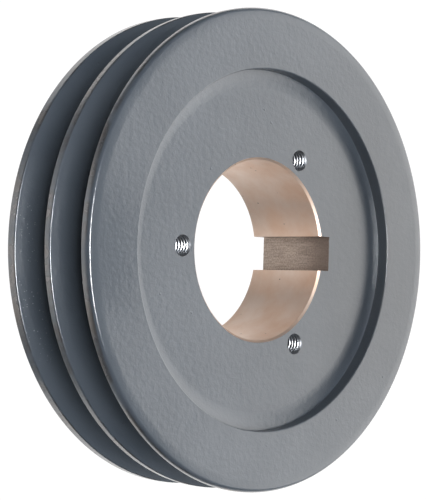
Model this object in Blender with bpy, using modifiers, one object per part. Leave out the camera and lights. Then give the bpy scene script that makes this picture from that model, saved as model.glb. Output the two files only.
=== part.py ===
"""Two-groove V belt sheave for a split taper bushing, with the bushing drawn off along the shaft.

The shaft runs along Y and the recessed front of the sheave faces -Y. The origin is on the shaft
line, half way through the rim. All sizes are in metres.
"""

import math

import bmesh
import bpy
from mathutils import Matrix

# Clearance between pieces that touch, or that are regions of the same casting.
GAP = 0.0003
ROUND_STEPS = 72
SMALL_STEPS = 20
CUT_OVERRUN = 0.001

# Rim and grooves.
OUTSIDE_D = 0.177
GROOVES = 2
GROOVE_TOP = 0.0162
GROOVE_DEPTH = 0.0152
GROOVE_ANGLE = math.radians(34)
MIDDLE_LAND = 0.00285
END_LAND = 0.003875
CORNER_CHAMFER = 0.0011
RIM_WALL = 0.0071
RIM_DRAFT = math.radians(3)

# Recess, web and hub.
RECESS_DEPTH = 0.0057
BLEND_WIDTH = 0.0066
BLEND_RISE = 0.0009
BLEND_STEPS = 3
WEB_THICKNESS = 0.014
HUB_LENGTH = 0.0344
BORE_D = 0.0667
BORE_TAPER = 1 / 16
BORE_CHAMFER = 0.00075
KEYWAY_WIDTH = 0.013
KEYWAY_DEPTH = 0.00465
SCREW_CIRCLE_INSET = 0.00645
HUB_WALL = 0.0122
TAPPED_HOLE_D = 0.008
HOLE_CHAMFER = 0.0005
SCREW_ANGLES = [math.radians(angle) for angle in (60, 180, 300)]

# Split taper bushing.
BUSHING_DRAW = 0.145
FLANGE_GAP = 0.0032
FLANGE_THICKNESS = 0.0127
FLANGE_MARGIN = 0.00705
BARREL_LENGTH = 0.0366
SHAFT_D = 0.0381
SHAFT_KEYWAY_WIDTH = 0.0095
SHAFT_KEYWAY_DEPTH = 0.0047
SPLIT_WIDTH = 0.0024
SPLIT_ANGLE = math.radians(240)
CLEARANCE_HOLE_PLAY = 0.0007
JACK_HOLE_D = 0.0068
JACK_ANGLES = [math.radians(angle) for angle in (0, 120)]
KEYSEAT_DEPTH = 0.0032
BUSHING_KEY_LENGTH = 0.030
EDGE_BREAK = 0.0008

# Fasteners.
SCREW_LENGTH = 0.0318
SCREW_BACKOFF = 0.016
HEAD_ACROSS_FLATS = 0.0127
HEAD_HEIGHT = 0.0052
WASHER_THICKNESS = 0.002
WASHER_BAND = 0.0021
WASHER_SPLIT = 0.0013
SET_SCREW_D = 0.0063
SET_SCREW_LENGTH = 0.0095
SET_SCREW_BACKOFF = 0.003
SET_SCREW_SOCKET = 0.0032

# Worked out from the sizes above.
OUTSIDE_R = OUTSIDE_D / 2
GROOVE_BOTTOM_R = OUTSIDE_R - GROOVE_DEPTH
GROOVE_FLARE = GROOVE_DEPTH * math.tan(GROOVE_ANGLE / 2)
FACE_WIDTH = 2 * END_LAND + GROOVES * GROOVE_TOP + (GROOVES - 1) * MIDDLE_LAND
FRONT_Y = -FACE_WIDTH / 2
REAR_Y = FACE_WIDTH / 2
RECESS_R = GROOVE_BOTTOM_R - RIM_WALL
HUB_FRONT_Y = FRONT_Y + RECESS_DEPTH
HUB_REAR_Y = HUB_FRONT_Y + HUB_LENGTH
WEB_REAR_Y = HUB_FRONT_Y + WEB_THICKNESS
BORE_R = BORE_D / 2
SCREW_CIRCLE_R = BORE_R + SCREW_CIRCLE_INSET
HUB_R = SCREW_CIRCLE_R + HUB_WALL
KEYWAY_FLOOR_R = BORE_R + KEYWAY_DEPTH
FLANGE_R = SCREW_CIRCLE_R + FLANGE_MARGIN
FLANGE_BACK_Y = HUB_FRONT_Y - FLANGE_GAP
FLANGE_FRONT_Y = FLANGE_BACK_Y - FLANGE_THICKNESS
BARREL_TIP_Y = FLANGE_BACK_Y + BARREL_LENGTH
SHAFT_R = SHAFT_D / 2
SHANK_R = TAPPED_HOLE_D / 2 - GAP
CLEARANCE_HOLE_D = TAPPED_HOLE_D + CLEARANCE_HOLE_PLAY
KEYSEAT_FLOOR_R = BORE_R - KEYSEAT_DEPTH
SHAFT_KEYWAY_R = SHAFT_R + SHAFT_KEYWAY_DEPTH


def bore_radius(y):
    """Radius of the tapered bore at a place along the shaft."""
    return BORE_R - (y - HUB_FRONT_Y) * BORE_TAPER / 2


def paint(name, colour, roughness, metallic):
    """Principled material with a plain colour."""
    material = bpy.data.materials.new(name)
    material.use_nodes = True
    shader = material.node_tree.nodes["Principled BSDF"]
    shader.inputs["Base Color"].default_value = (*colour, 1)
    shader.inputs["Roughness"].default_value = roughness
    shader.inputs["Metallic"].default_value = metallic
    return material


def add_object(name, mesh, collection, material=None, parent=None):
    """Link a mesh into a collection, shaded smooth with sharp corners kept."""
    obj = bpy.data.objects.new(name, mesh)
    collection.objects.link(obj)
    if material:
        mesh.materials.append(material)
    mesh.shade_smooth()
    mesh.set_sharp_from_angle(angle=math.radians(30))
    if parent:
        obj.parent = parent
    return obj


def as_helper(obj):
    """Mark an object as a cutter or a guide, which is not part of the model."""
    obj.display_type = "WIRE"
    obj.hide_render = True
    return obj


def turned(name, outline, collection, steps, material=None, parent=None, axis="Y", place=(0, 0, 0)):
    """Turn a closed outline of (radius, height) points about an axis through a place.

    The outline runs down its outer side, from the largest height to the smallest.
    """
    mesh = bpy.data.meshes.new(name)
    count = len(outline)
    closed = outline[0][0] > 0 or outline[-1][0] > 0
    edges = [(i, i + 1) for i in range(count - 1)] + ([(count - 1, 0)] if closed else [])
    mesh.from_pydata([(radius, 0, height) for radius, height in outline], edges, [])
    obj = add_object(name, mesh, collection, material, parent)
    screw = obj.modifiers.new("Turn", "SCREW")
    screw.steps = screw.render_steps = steps
    screw.use_merge_vertices = True
    screw.merge_threshold = 0.00001
    obj.rotation_euler = {"Y": (-math.pi / 2, 0, 0), "Z": (0, 0, 0)}[axis]
    obj.location = place
    return obj


def block(name, low, high, collection, material=None, parent=None, turn=0.0):
    """Box between two corners, turned about the shaft line by an angle from +X towards +Z."""
    mesh = bpy.data.meshes.new(name)
    shape = bmesh.new()
    bmesh.ops.create_cube(shape, size=1)
    size = [high[axis] - low[axis] for axis in range(3)]
    middle = [(high[axis] + low[axis]) / 2 for axis in range(3)]
    bmesh.ops.scale(shape, vec=size, verts=shape.verts)
    bmesh.ops.translate(shape, vec=middle, verts=shape.verts)
    bmesh.ops.rotate(shape, matrix=Matrix.Rotation(-turn, 3, "Y"), verts=shape.verts)
    shape.to_mesh(mesh)
    shape.free()
    return add_object(name, mesh, collection, material, parent)


def hexagon(name, across_flats, height, collection, material=None, parent=None, axis="Y"):
    """Hexagonal prism about an axis, centred on its own origin."""
    mesh = bpy.data.meshes.new(name)
    shape = bmesh.new()
    radius = across_flats / math.sqrt(3)
    bmesh.ops.create_cone(
        shape, cap_ends=True, segments=6, radius1=radius, radius2=radius, depth=height
    )
    shape.to_mesh(mesh)
    shape.free()
    obj = add_object(name, mesh, collection, material, parent)
    obj.rotation_euler = {"Y": (-math.pi / 2, 0, 0), "Z": (0, 0, 0)}[axis]
    return obj


def combine(obj, other, operation):
    """Boolean of an object with a helper."""
    modifier = obj.modifiers.new(other.name, "BOOLEAN")
    modifier.operation = operation
    modifier.object = as_helper(other)


def on_circle(radius, angle, y=0.0):
    """Place at a radius and angle about the shaft, the angle counted from +X towards +Z."""
    return (radius * math.cos(angle), y, radius * math.sin(angle))


def ring_outline(inner, outer, low, high):
    """Plain rectangular section of a ring."""
    return [(outer, high), (outer, low), (inner, low), (inner, high)]


def hole_outline(radius, low, high, chamfer):
    """Section of a drill cutter that also breaks the edges of the hole at low and at high."""
    return [
        (0, high + CUT_OVERRUN),
        (radius + chamfer + CUT_OVERRUN, high + CUT_OVERRUN),
        (radius + chamfer, high),
        (radius, high - chamfer),
        (radius, low + chamfer),
        (radius + chamfer, low),
        (radius + chamfer + CUT_OVERRUN, low - CUT_OVERRUN),
        (0, low - CUT_OVERRUN),
    ]


def flange_outline(low, high, grooved_low, grooved_high):
    """Section of a rim flange whose land runs from low to high and whose grooved sides flare."""
    base_r = GROOVE_BOTTOM_R + GAP
    flare = GROOVE_FLARE * (OUTSIDE_R - base_r) / GROOVE_DEPTH
    outline = []
    if grooved_high:
        outline += [(base_r, high + flare), (OUTSIDE_R, high)]
    else:
        outline += [(base_r, high), (OUTSIDE_R - CORNER_CHAMFER, high), (OUTSIDE_R, high - CORNER_CHAMFER)]
    if grooved_low:
        outline += [(OUTSIDE_R, low), (base_r, low - flare)]
    else:
        outline += [(OUTSIDE_R, low + CORNER_CHAMFER), (OUTSIDE_R - CORNER_CHAMFER, low), (base_r, low)]
    return outline


def web_outline():
    """Section of the web, whose front rises in a shallow cove towards the rim."""
    inner = HUB_R + GAP
    outer = RECESS_R - GAP
    cove = []
    for step in range(BLEND_STEPS + 1):
        share = 1 - step / BLEND_STEPS
        cove.append((outer - BLEND_WIDTH * (1 - share), HUB_FRONT_Y - BLEND_RISE * share**2))
    return [(outer, WEB_REAR_Y), *cove, (inner, HUB_FRONT_Y), (inner, WEB_REAR_Y)]


def hub_outline():
    """Section of the hub round its tapered bore."""
    front_r = bore_radius(HUB_FRONT_Y)
    rear_r = bore_radius(HUB_REAR_Y)
    return [
        (rear_r + BORE_CHAMFER, HUB_REAR_Y),
        (HUB_R - EDGE_BREAK, HUB_REAR_Y),
        (HUB_R, HUB_REAR_Y - EDGE_BREAK),
        (HUB_R, HUB_FRONT_Y),
        (front_r + BORE_CHAMFER, HUB_FRONT_Y),
        (bore_radius(HUB_FRONT_Y + BORE_CHAMFER), HUB_FRONT_Y + BORE_CHAMFER),
        (bore_radius(HUB_REAR_Y - BORE_CHAMFER), HUB_REAR_Y - BORE_CHAMFER),
    ]


def rim_outline():
    """Section of the rim under the grooves, opened by its draft behind the web."""
    rear_r = RECESS_R + (REAR_Y - WEB_REAR_Y) * math.tan(RIM_DRAFT)
    return [
        (rear_r, REAR_Y),
        (GROOVE_BOTTOM_R, REAR_Y),
        (GROOVE_BOTTOM_R, FRONT_Y),
        (RECESS_R, FRONT_Y),
        (RECESS_R, WEB_REAR_Y),
    ]


def bushing_outline():
    """Section of the bushing where it is seated, a clearance inside the sheave's bore."""
    return [
        (SHAFT_R + EDGE_BREAK, BARREL_TIP_Y),
        (bore_radius(BARREL_TIP_Y) - GAP - EDGE_BREAK, BARREL_TIP_Y),
        (bore_radius(BARREL_TIP_Y - EDGE_BREAK) - GAP, BARREL_TIP_Y - EDGE_BREAK),
        (bore_radius(FLANGE_BACK_Y) - GAP, FLANGE_BACK_Y),
        (FLANGE_R - EDGE_BREAK, FLANGE_BACK_Y),
        (FLANGE_R, FLANGE_BACK_Y - EDGE_BREAK),
        (FLANGE_R, FLANGE_FRONT_Y + EDGE_BREAK),
        (FLANGE_R - EDGE_BREAK, FLANGE_FRONT_Y),
        (SHAFT_R + EDGE_BREAK, FLANGE_FRONT_Y),
        (SHAFT_R, FLANGE_FRONT_Y + EDGE_BREAK),
        (SHAFT_R, BARREL_TIP_Y - EDGE_BREAK),
    ]


def build_rim(parts, iron):
    """Rim, with a flange before, between and behind the grooves."""
    turned("rim_barrel", rim_outline(), parts, ROUND_STEPS, iron)
    names = ["front_flange", "middle_flange", "rear_flange"]
    low = FRONT_Y
    for index, name in enumerate(names):
        first, last = index == 0, index == len(names) - 1
        high = low + (END_LAND if first or last else MIDDLE_LAND)
        turned(name, flange_outline(low, high, not first, not last), parts, ROUND_STEPS, iron)
        low = high + GROOVE_TOP


def build_web_and_hub(parts, cutters, iron):
    """Web disc, and the hub with its keyway and tapped holes."""
    turned("web_disc", web_outline(), parts, ROUND_STEPS, iron)
    hub = turned("hub", hub_outline(), parts, ROUND_STEPS, iron)
    keyway = block(
        "keyway_cutter",
        (SHAFT_R, HUB_FRONT_Y - CUT_OVERRUN, -KEYWAY_WIDTH / 2),
        (KEYWAY_FLOOR_R, HUB_REAR_Y + CUT_OVERRUN, KEYWAY_WIDTH / 2),
        cutters,
    )
    combine(hub, keyway, "DIFFERENCE")
    for number, angle in enumerate(SCREW_ANGLES, 1):
        outline = hole_outline(TAPPED_HOLE_D / 2, HUB_FRONT_Y, HUB_REAR_Y, HOLE_CHAMFER)
        drill = turned(
            f"tapped_hole_cutter_{number}", outline, cutters, SMALL_STEPS,
            place=on_circle(SCREW_CIRCLE_R, angle),
        )
        combine(hub, drill, "DIFFERENCE")


def build_bushing(parts, cutters, steel, bright, kit):
    """Split flanged bushing and the key along its barrel."""
    bushing = turned("split_taper_bushing", bushing_outline(), parts, ROUND_STEPS, steel, kit)
    split = block(
        "split_cutter",
        (0, FLANGE_FRONT_Y - CUT_OVERRUN, -SPLIT_WIDTH / 2),
        (FLANGE_R + CUT_OVERRUN, BARREL_TIP_Y + CUT_OVERRUN, SPLIT_WIDTH / 2),
        cutters, parent=kit, turn=SPLIT_ANGLE,
    )
    combine(bushing, split, "DIFFERENCE")
    shaft_keyway = block(
        "shaft_keyway_cutter",
        (-SHAFT_KEYWAY_WIDTH / 2, FLANGE_FRONT_Y - CUT_OVERRUN, 0),
        (SHAFT_KEYWAY_WIDTH / 2, BARREL_TIP_Y + CUT_OVERRUN, SHAFT_KEYWAY_R),
        cutters, parent=kit,
    )
    combine(bushing, shaft_keyway, "DIFFERENCE")
    key_half = KEYWAY_WIDTH / 2 - GAP
    key_front = FLANGE_BACK_Y + FLANGE_GAP + GAP
    keyseat = block(
        "keyseat_cutter",
        (KEYSEAT_FLOOR_R, key_front - GAP, -key_half - GAP),
        (KEYWAY_FLOOR_R, BARREL_TIP_Y + CUT_OVERRUN, key_half + GAP),
        cutters, parent=kit,
    )
    combine(bushing, keyseat, "DIFFERENCE")
    drills = [("clearance_hole", CLEARANCE_HOLE_D, angle) for angle in SCREW_ANGLES]
    drills += [("jack_hole", JACK_HOLE_D, angle) for angle in JACK_ANGLES]
    for number, (name, diameter, angle) in enumerate(drills, 1):
        outline = hole_outline(diameter / 2, FLANGE_FRONT_Y, FLANGE_BACK_Y, HOLE_CHAMFER)
        drill = turned(
            f"{name}_cutter_{number}", outline, cutters, SMALL_STEPS,
            parent=kit, place=on_circle(SCREW_CIRCLE_R, angle),
        )
        combine(bushing, drill, "DIFFERENCE")
    radius = SET_SCREW_D / 2 + GAP
    top = FLANGE_R + CUT_OVERRUN
    set_hole = turned(
        "set_screw_hole_cutter",
        [(0, top), (radius, top), (radius, SHAFT_R), (0, SHAFT_R)],
        cutters, SMALL_STEPS, parent=kit, axis="Z",
        place=(0, (FLANGE_FRONT_Y + FLANGE_BACK_Y) / 2, 0),
    )
    combine(bushing, set_hole, "DIFFERENCE")

    key = block(
        "bushing_key",
        (KEYSEAT_FLOOR_R + GAP, key_front, -key_half),
        (KEYWAY_FLOOR_R - GAP, key_front + BUSHING_KEY_LENGTH, key_half),
        parts, bright, kit,
    )
    bevel = key.modifiers.new("Edge break", "BEVEL")
    bevel.width = EDGE_BREAK / 2
    bevel.segments = 1


def build_set_screw(parts, cutters, black, kit):
    """Socket set screw above the shaft's key, backed out from it."""
    tip = SHAFT_KEYWAY_R + SET_SCREW_BACKOFF
    top = tip + SET_SCREW_LENGTH
    radius = SET_SCREW_D / 2
    outline = [
        (0, top),
        (radius - EDGE_BREAK, top),
        (radius, top - EDGE_BREAK),
        (radius, tip + EDGE_BREAK),
        (radius - EDGE_BREAK, tip),
        (0, tip),
    ]
    y = (FLANGE_FRONT_Y + FLANGE_BACK_Y) / 2
    screw = turned(
        "key_set_screw", outline, parts, SMALL_STEPS, black, kit, axis="Z", place=(0, y, 0)
    )
    socket_depth = SET_SCREW_LENGTH / 2
    socket = hexagon("socket_cutter", SET_SCREW_SOCKET, 2 * socket_depth, cutters, parent=kit, axis="Z")
    socket.location = (0, y, top)
    combine(screw, socket, "DIFFERENCE")


def build_cap_screw(parts, cutters, zinc, backed_out, number, angle):
    """Hexagon cap screw with the lock washer under its head."""
    head_seat = FLANGE_FRONT_Y - WASHER_THICKNESS - 2 * GAP
    tip = head_seat + SCREW_LENGTH
    place = on_circle(SCREW_CIRCLE_R, angle)
    shank = [
        (0, tip),
        (SHANK_R - EDGE_BREAK, tip),
        (SHANK_R, tip - EDGE_BREAK),
        (SHANK_R, head_seat - HEAD_HEIGHT / 2),
        (0, head_seat - HEAD_HEIGHT / 2),
    ]
    screw = turned(
        f"cap_screw_{number}", shank, parts, SMALL_STEPS, zinc, backed_out, place=place
    )
    head = hexagon(
        f"head_{number}", HEAD_ACROSS_FLATS, HEAD_HEIGHT, cutters, parent=backed_out
    )
    head.location = on_circle(SCREW_CIRCLE_R, angle, head_seat - HEAD_HEIGHT / 2)
    combine(screw, head, "UNION")

    inner = SHANK_R + GAP
    outline = ring_outline(
        inner, inner + WASHER_BAND, head_seat + GAP, head_seat + GAP + WASHER_THICKNESS
    )
    washer = turned(
        f"lock_washer_{number}", outline, parts, SMALL_STEPS, zinc, backed_out, place=place
    )
    gap = block(
        f"washer_split_cutter_{number}",
        (0, head_seat, -WASHER_SPLIT / 2),
        (inner + 2 * WASHER_BAND, head_seat + 2 * WASHER_THICKNESS, WASHER_SPLIT / 2),
        cutters, parent=backed_out,
    )
    gap.location = place
    combine(washer, gap, "DIFFERENCE")


def main():
    for obj in list(bpy.data.objects):
        bpy.data.objects.remove(obj)
    parts = bpy.data.collections.new("v_belt_pulley")
    cutters = bpy.data.collections.new("cutters")
    for collection in (parts, cutters):
        bpy.context.scene.collection.children.link(collection)

    iron = paint("grey_painted_iron", (0.25, 0.27, 0.28), 0.42, 0.0)
    steel = paint("oiled_cast_steel", (0.20, 0.19, 0.18), 0.45, 0.8)
    bright = paint("bright_key_steel", (0.45, 0.44, 0.42), 0.35, 1.0)
    zinc = paint("zinc_plated_steel", (0.62, 0.62, 0.60), 0.3, 1.0)
    black = paint("black_oxide_steel", (0.04, 0.04, 0.04), 0.4, 0.9)

    kit = bpy.data.objects.new("bushing_place", None)
    kit.location = (0, -BUSHING_DRAW, 0)
    backed_out = bpy.data.objects.new("cap_screw_place", None)
    backed_out.location = (0, -SCREW_BACKOFF, 0)
    backed_out.parent = kit
    for empty in (kit, backed_out):
        parts.objects.link(empty)

    build_rim(parts, iron)
    build_web_and_hub(parts, cutters, iron)
    build_bushing(parts, cutters, steel, bright, kit)
    build_set_screw(parts, cutters, black, kit)
    for number, angle in enumerate(SCREW_ANGLES, 1):
        build_cap_screw(parts, cutters, zinc, backed_out, number, angle)


main()
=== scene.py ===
"""A grey V belt pulley for two belts, with the split taper bushing kit that its tapered bore is made for.

The pulley is turned about the Y axis. Its recessed front face looks towards -Y and its keyway opens
towards +X.
"""

from __future__ import annotations

import logging
import math
from collections.abc import Callable, Iterable, Sequence
from dataclasses import dataclass, field
from enum import Enum

import bmesh
import bpy
from mathutils import Matrix, Vector, noise

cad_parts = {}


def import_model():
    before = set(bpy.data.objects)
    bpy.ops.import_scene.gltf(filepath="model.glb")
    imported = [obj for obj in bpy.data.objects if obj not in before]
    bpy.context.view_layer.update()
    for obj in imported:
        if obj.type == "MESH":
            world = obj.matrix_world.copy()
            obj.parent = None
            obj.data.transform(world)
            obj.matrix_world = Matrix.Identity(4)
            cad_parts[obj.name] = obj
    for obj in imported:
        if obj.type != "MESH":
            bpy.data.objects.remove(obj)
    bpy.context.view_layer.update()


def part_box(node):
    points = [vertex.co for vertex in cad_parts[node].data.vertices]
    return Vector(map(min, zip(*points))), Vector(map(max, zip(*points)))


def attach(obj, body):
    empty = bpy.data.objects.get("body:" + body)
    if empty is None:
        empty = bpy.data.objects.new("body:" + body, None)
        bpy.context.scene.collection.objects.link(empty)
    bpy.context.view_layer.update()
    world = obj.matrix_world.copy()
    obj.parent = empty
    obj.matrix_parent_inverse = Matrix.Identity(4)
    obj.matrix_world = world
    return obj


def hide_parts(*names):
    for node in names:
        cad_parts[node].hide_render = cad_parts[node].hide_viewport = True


log = logging.getLogger("v_belt_pulley")

MERGE = 1e-6
FLAT_TURN = math.radians(32)
INCH = 0.0254
THREAD_PITCH = INCH / 18
SCREW_CIRCLE_R = 0.0398
PARKED = 0.145
UPRIGHT = Matrix.Rotation(math.radians(90), 4, "X")


class Slot(Enum):
    """The record's material slots."""

    ENAMEL = "grey_enamel"
    BUSHING = "bushing_iron"
    KEY = "key_steel"
    PLATED = "plated_steel"
    BLACK = "black_steel"


class Work(Enum):
    """What a tool does to a piece."""

    CUT = "DIFFERENCE"
    JOIN = "UNION"
    TRIM = "INTERSECT"


class Value:
    """A number socket that takes part in Python arithmetic, adding Math nodes as it goes."""

    def __init__(self, graph: Graph, socket: bpy.types.NodeSocket) -> None:
        """Wrap a socket of a graph."""
        self.graph = graph
        self.socket = socket

    def __add__(self, other: Number) -> Value:
        """Sum."""
        return self.graph.maths("ADD", self, other)

    def __radd__(self, other: Number) -> Value:
        """Sum with the number on the left."""
        return self.graph.maths("ADD", other, self)

    def __sub__(self, other: Number) -> Value:
        """Difference."""
        return self.graph.maths("SUBTRACT", self, other)

    def __rsub__(self, other: Number) -> Value:
        """Difference with the number on the left."""
        return self.graph.maths("SUBTRACT", other, self)

    def __mul__(self, other: Number) -> Value:
        """Product."""
        return self.graph.maths("MULTIPLY", self, other)

    def __rmul__(self, other: Number) -> Value:
        """Product with the number on the left."""
        return self.graph.maths("MULTIPLY", other, self)

    def root(self) -> Value:
        """Square root."""
        return self.graph.maths("SQRT", self)

    def size(self) -> Value:
        """Value without its sign."""
        return self.graph.maths("ABSOLUTE", self)

    def ramp(self, start: float, end: float) -> Value:
        """Smooth change from 0 to 1 as the value goes from start to end.

        Args:
            start: value at which the change begins.
            end: value at which it is complete. It may be below start.

        Returns:
            The eased value.
        """
        feeds = {"Value": self, "From Min": start, "From Max": end}
        if start > end:
            feeds = {"Value": self, "From Min": end, "From Max": start, "To Min": 1.0, "To Max": 0.0}
        node = self.graph.add("MapRange", {"interpolation_type": "SMOOTHSTEP"}, feeds)
        return Value(self.graph, node.outputs["Result"])


Number = Value | float
Colour = tuple[float, float, float]
Paint = Colour | bpy.types.NodeSocket


class Graph:
    """A shader node tree with short ways to add to it."""

    def __init__(self, tree: bpy.types.NodeTree) -> None:
        """Clear a tree and start on it."""
        self.tree = tree
        tree.nodes.clear()

    def add(self, kind: str, settings: dict | None = None, feeds: dict | None = None) -> bpy.types.Node:
        """Add one node.

        Args:
            kind: the node's type, without the ShaderNode at its front.
            settings: its own settings, such as a Math node's operation.
            feeds: a value, a Value or a socket for each input, by name or number.

        Returns:
            The node.
        """
        node = self.tree.nodes.new("ShaderNode" + kind)
        for name, value in (settings or {}).items():
            setattr(node, name, value)
        for key, value in (feeds or {}).items():
            source = value.socket if isinstance(value, Value) else value
            if isinstance(source, bpy.types.NodeSocket):
                self.tree.links.new(source, node.inputs[key])
            else:
                node.inputs[key].default_value = source
        return node

    def maths(self, operation: str, *terms: Number) -> Value:
        """One Math node on up to three terms."""
        node = self.add("Math", {"operation": operation}, dict(enumerate(terms)))
        return Value(self, node.outputs[0])

    def place(self) -> bpy.types.NodeSocket:
        """Place on the object, in metres."""
        return self.add("TexCoord").outputs["Object"]

    def split(self, vector: bpy.types.NodeSocket) -> tuple[Value, Value, Value]:
        """The three parts of a vector."""
        node = self.add("SeparateXYZ", None, {0: vector})
        return tuple(Value(self, out) for out in node.outputs)

    def join(self, x: Number, y: Number, z: Number) -> bpy.types.NodeSocket:
        """A vector of three values."""
        return self.add("CombineXYZ", None, {0: x, 1: y, 2: z}).outputs[0]

    def stretch(self, vector: bpy.types.NodeSocket, scale: Colour) -> bpy.types.NodeSocket:
        """A place scaled along each axis."""
        return self.add("VectorMath", {"operation": "MULTIPLY"}, {0: vector, 1: scale}).outputs[0]

    def noise(
        self, vector: bpy.types.NodeSocket, scale: float, detail: float = 2, rough: float = 0.5
    ) -> Value:
        """Cloudy noise from 0 to 1.

        Args:
            vector: where it is read.
            scale: features in each unit of the vector.
            detail: how many finer layers it has.
            rough: how strong the finer layers are.

        Returns:
            The noise.
        """
        feeds = {"Vector": vector, "Scale": scale, "Detail": detail, "Roughness": rough}
        return Value(self, self.add("TexNoise", None, feeds).outputs[0])

    def dots(self, vector: bpy.types.NodeSocket, scale: float, radius: float, keep: float) -> Value:
        """Scattered round dots: 1 in a dot, 0 between them.

        Args:
            vector: where they are read.
            scale: cells in each unit of the vector.
            radius: of a dot, as a share of a cell.
            keep: share of the cells that hold a dot.

        Returns:
            The mask.
        """
        cells = self.add("TexVoronoi", None, {"Vector": vector, "Scale": scale})
        near = Value(self, cells.outputs["Distance"]).ramp(radius, radius * 0.6)
        chance = self.split(cells.outputs["Color"])[0].ramp(keep, keep - 0.02)
        return near * chance

    def blend(self, first: Paint, second: Paint, share: Number) -> bpy.types.NodeSocket:
        """Colour that goes from first to second as share goes from 0 to 1.

        Args:
            first: colour or link at a share of 0.
            second: colour or link at a share of 1.
            share: how far it has gone.

        Returns:
            The blended colour.
        """
        ends = [(*c, 1) if isinstance(c, tuple) else c for c in (first, second)]
        node = self.add("Mix", {"data_type": "RGBA"}, {0: share, 6: ends[0], 7: ends[1]})
        return node.outputs[2]

    def bump(self, height: Number, distance: float) -> bpy.types.NodeSocket:
        """Normal of a surface that stands up by height times distance, in metres."""
        feeds = {"Height": height, "Distance": distance, "Strength": 1.0}
        return self.add("Bump", None, feeds).outputs["Normal"]


@dataclass(frozen=True)
class Finish:
    """A surface finish, which becomes a material once and is then shared."""

    name: str

    def surface(self, graph: Graph) -> dict[str, object]:
        """What this finish gives each socket of the Principled shader."""
        raise NotImplementedError

    def material(self) -> bpy.types.Material:
        """The finish's material, made the first time that it is asked for.

        Returns:
            The material.
        """
        known = bpy.data.materials.get(self.name)
        if known:
            return known
        made = bpy.data.materials.new(self.name)
        made.use_nodes = True
        graph = Graph(made.node_tree)
        shader = graph.add("BsdfPrincipled", None, self.surface(graph))
        graph.add("OutputMaterial", None, {"Surface": shader.outputs[0]})
        return made


@dataclass(frozen=True)
class Enamel(Finish):
    """Semi-gloss machine enamel sprayed on turned and cast iron, thin on the turned lands."""

    deep: Colour = (0.215, 0.240, 0.265)
    pale: Colour = (0.265, 0.290, 0.315)
    worn: Colour = (0.20, 0.17, 0.15)
    # Near-black colour painted as shade low in the grooves.
    painted_groove_shade: Colour = (0.008, 0.008, 0.009)
    # Pale colour of the dots painted as glints.
    painted_glint_colour: Colour = (0.75, 0.78, 0.80)
    outside_r: float = 0.0885
    barrel_r: float = 0.0700
    half_width: float = 0.0215
    end_flange: float = 0.0025
    shade_from: float = 0.0082
    shade_full: float = 0.0148
    glint_from: tuple[float, float] = (0.010, 0.012)
    glint_to: tuple[float, float] = (0.0195, 0.0185)
    glint_top: tuple[float, float] = (0.020, 0.008)
    glint_bottom: tuple[float, float] = (-0.046, -0.030)
    roughness: float = 0.20
    peel_height: float = 0.00011

    def groove_painted_shade_mask(self, y: Value, radius: Value) -> Value:
        """Mask of painted shade: near-black colour low on the walls of the grooves and over their bottoms.

        Args:
            y: place along the shaft.
            radius: distance from the shaft line.

        Returns:
            The mask.
        """
        wall = self.half_width - self.end_flange
        between_ends = y.ramp(-wall, -wall + 0.001) * y.ramp(wall, wall - 0.001)
        depth = radius.ramp(self.outside_r - self.shade_from, self.outside_r - self.shade_full)
        return depth * radius.ramp(self.barrel_r, self.barrel_r + 0.0015) * between_ends

    def painted_glint_dots(self, graph: Graph, place: bpy.types.NodeSocket, radius: Value) -> Value:
        """Mask of pale dots painted as glints on the rear groove's wall, on the side away from the keyway.

        Args:
            graph: the material's graph.
            place: place on the object.
            radius: distance from the shaft line.

        Returns:
            The mask.
        """
        x, y, z = graph.split(place)
        across = y.ramp(*self.glint_from) * y.ramp(*self.glint_to) * radius.ramp(0.079, 0.083)
        around = z.ramp(*self.glint_top) * z.ramp(*self.glint_bottom) * x.ramp(-0.05, -0.06)
        return graph.dots(place, 1500, 0.30, 0.16) * across * around

    def surface(self, graph: Graph) -> dict[str, object]:
        """Orange peel, specks, rubbed lands, painted shade in the grooves and pale dots painted as glints on
        the rear one's wall.

        Args:
            graph: the material's graph.

        Returns:
            A value or a link for each socket that it sets.
        """
        place = graph.place()
        x, y, z = graph.split(place)
        radius = (x * x + z * z).root()
        cloud = graph.noise(place, 22, 3)
        peel = graph.noise(place, 520, 2, 0.5)
        grain = graph.noise(place, 1700, 1)
        specks = graph.dots(place, 260, 0.13, 0.05)
        land = radius.ramp(self.outside_r - 0.0005, self.outside_r - 0.0001)
        rubbed = land * graph.noise(place, 90, 4).ramp(0.35, 0.7)
        body = graph.blend(self.deep, self.pale, cloud.ramp(0.3, 0.7))
        body = graph.blend(body, self.worn, rubbed * 0.75)
        # Painted shade: the grooves turn near-black towards their bottoms.
        body = graph.blend(body, self.painted_groove_shade, self.groove_painted_shade_mask(y, radius))
        # Painted highlights: pale glint dots on the rear groove's wall.
        body = graph.blend(body, self.painted_glint_colour, self.painted_glint_dots(graph, place, radius))
        height = peel * 0.75 + grain * 0.25 + specks * 0.9
        return {
            "Base Color": body,
            "Metallic": rubbed * 0.5,
            "Roughness": self.roughness + (cloud - 0.5) * 0.12 + rubbed * 0.1,
            "Normal": graph.bump(height, self.peel_height),
        }


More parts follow.
